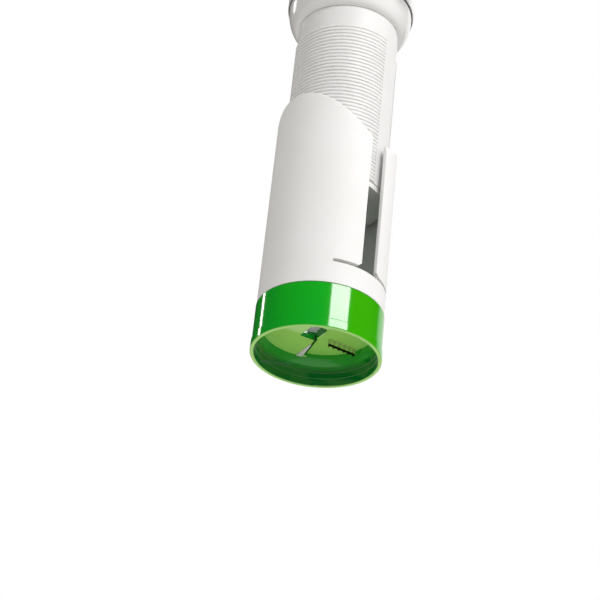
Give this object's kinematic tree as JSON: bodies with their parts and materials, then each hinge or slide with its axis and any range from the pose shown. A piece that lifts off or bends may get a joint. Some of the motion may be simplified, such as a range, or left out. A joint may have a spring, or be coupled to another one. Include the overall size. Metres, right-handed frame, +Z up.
{
  "type": "hand cranked spiralizer",
  "caption": "Hand cranked vegetable spiralizer: green blade cap, white sleeve of two press shells, threaded plunger with bell head and a crank with a turning knob.",
  "frame": {"origin": "Middle of the blade cap's rim, which the spiralizer stands on.", "axes": "+Z is up the plunger's axis, -Y is the front with the tall thumb shell, +X is the side slot that the crank arm lies over at rest."},
  "size_m": [0.1078, 0.0748, 0.2819],
  "materials": {
    "green_plastic": "glossy moulded plastic, saturated green",
    "knob_green": "glossy moulded plastic, the cap's green",
    "blade_steel": "ground stainless steel",
    "screw_steel": "plain stainless steel",
    "sleeve_white": "satin to glossy white moulded plastic",
    "plunger_white": "satin white moulded plastic",
    "holder_white": "satin white moulded plastic",
    "head_white": "polished white moulded plastic",
    "arm_white": "polished white moulded plastic",
    "washer_dark": "dark slippery plastic"
  },
  "bodies": {
    "sleeve": {"sleeve_base": "sleeve_white"},
    "cap": {"blade_cap": "green_plastic", "slicing_blade": "blade_steel", "mouth_lip": "blade_steel", "julienne_comb": "blade_steel", "plate_screws": "screw_steel"},
    "front_press_shell": {"front_shell": "sleeve_white"},
    "rear_press_shell": {"rear_shell": "sleeve_white"},
    "head": {"head_ring": "head_white", "slip_washer": "washer_dark"},
    "plunger": {"thread_tube": "plunger_white", "food_holder": "holder_white", "holder_prongs": "blade_steel", "centre_spike": "blade_steel", "holder_screw": "screw_steel", "crank_disc": "head_white", "disc_screws": "screw_steel", "crank_arm": "arm_white", "hub_washer": "screw_steel", "hub_screw": "screw_steel", "hub_plug": "knob_green", "knob_pin": "screw_steel", "pin_clip": "screw_steel"},
    "knob": {"crank_knob": "knob_green", "knob_cap": "knob_green"}
  },
  "joints": [
    {"name": "crank_turn", "type": "hinge", "parent": "head", "child": "plunger", "pos_m": [0, 0, 0.2239], "axis": [0, 0, -1], "range_deg": [-2160, 9360]},
    {"name": "plunger_feed", "type": "slide", "parent": "sleeve", "child": "head", "axis": [0, 0, -1], "range_m": [-0.0145, 0.0625]},
    {"name": "knob_spin", "type": "hinge", "parent": "plunger", "child": "knob", "pos_m": [0.058, 0, 0.265], "axis": [0, 0, 1], "continuous": true},
    {"name": "front_press", "type": "hinge", "parent": "sleeve", "child": "front_press_shell", "pos_m": [0, -0.019, 0.0403], "axis": [-1, 0, 0], "range_deg": [0, 0.85], "stiffness_Nm_per_rad": 20},
    {"name": "rear_press", "type": "hinge", "parent": "sleeve", "child": "rear_press_shell", "pos_m": [0, 0.019, 0.0403], "axis": [1, 0, 0], "range_deg": [0, 0.85], "stiffness_Nm_per_rad": 20},
    {"name": "sleeve_lift", "type": "slide", "parent": "cap", "child": "sleeve", "axis": [0, 0, 1], "range_m": [0, 0.03]}
  ],
  "couplings": [
    {"joint": "plunger_feed", "follows": "crank_turn", "m_per_rad": 0.00038197}
  ]
}
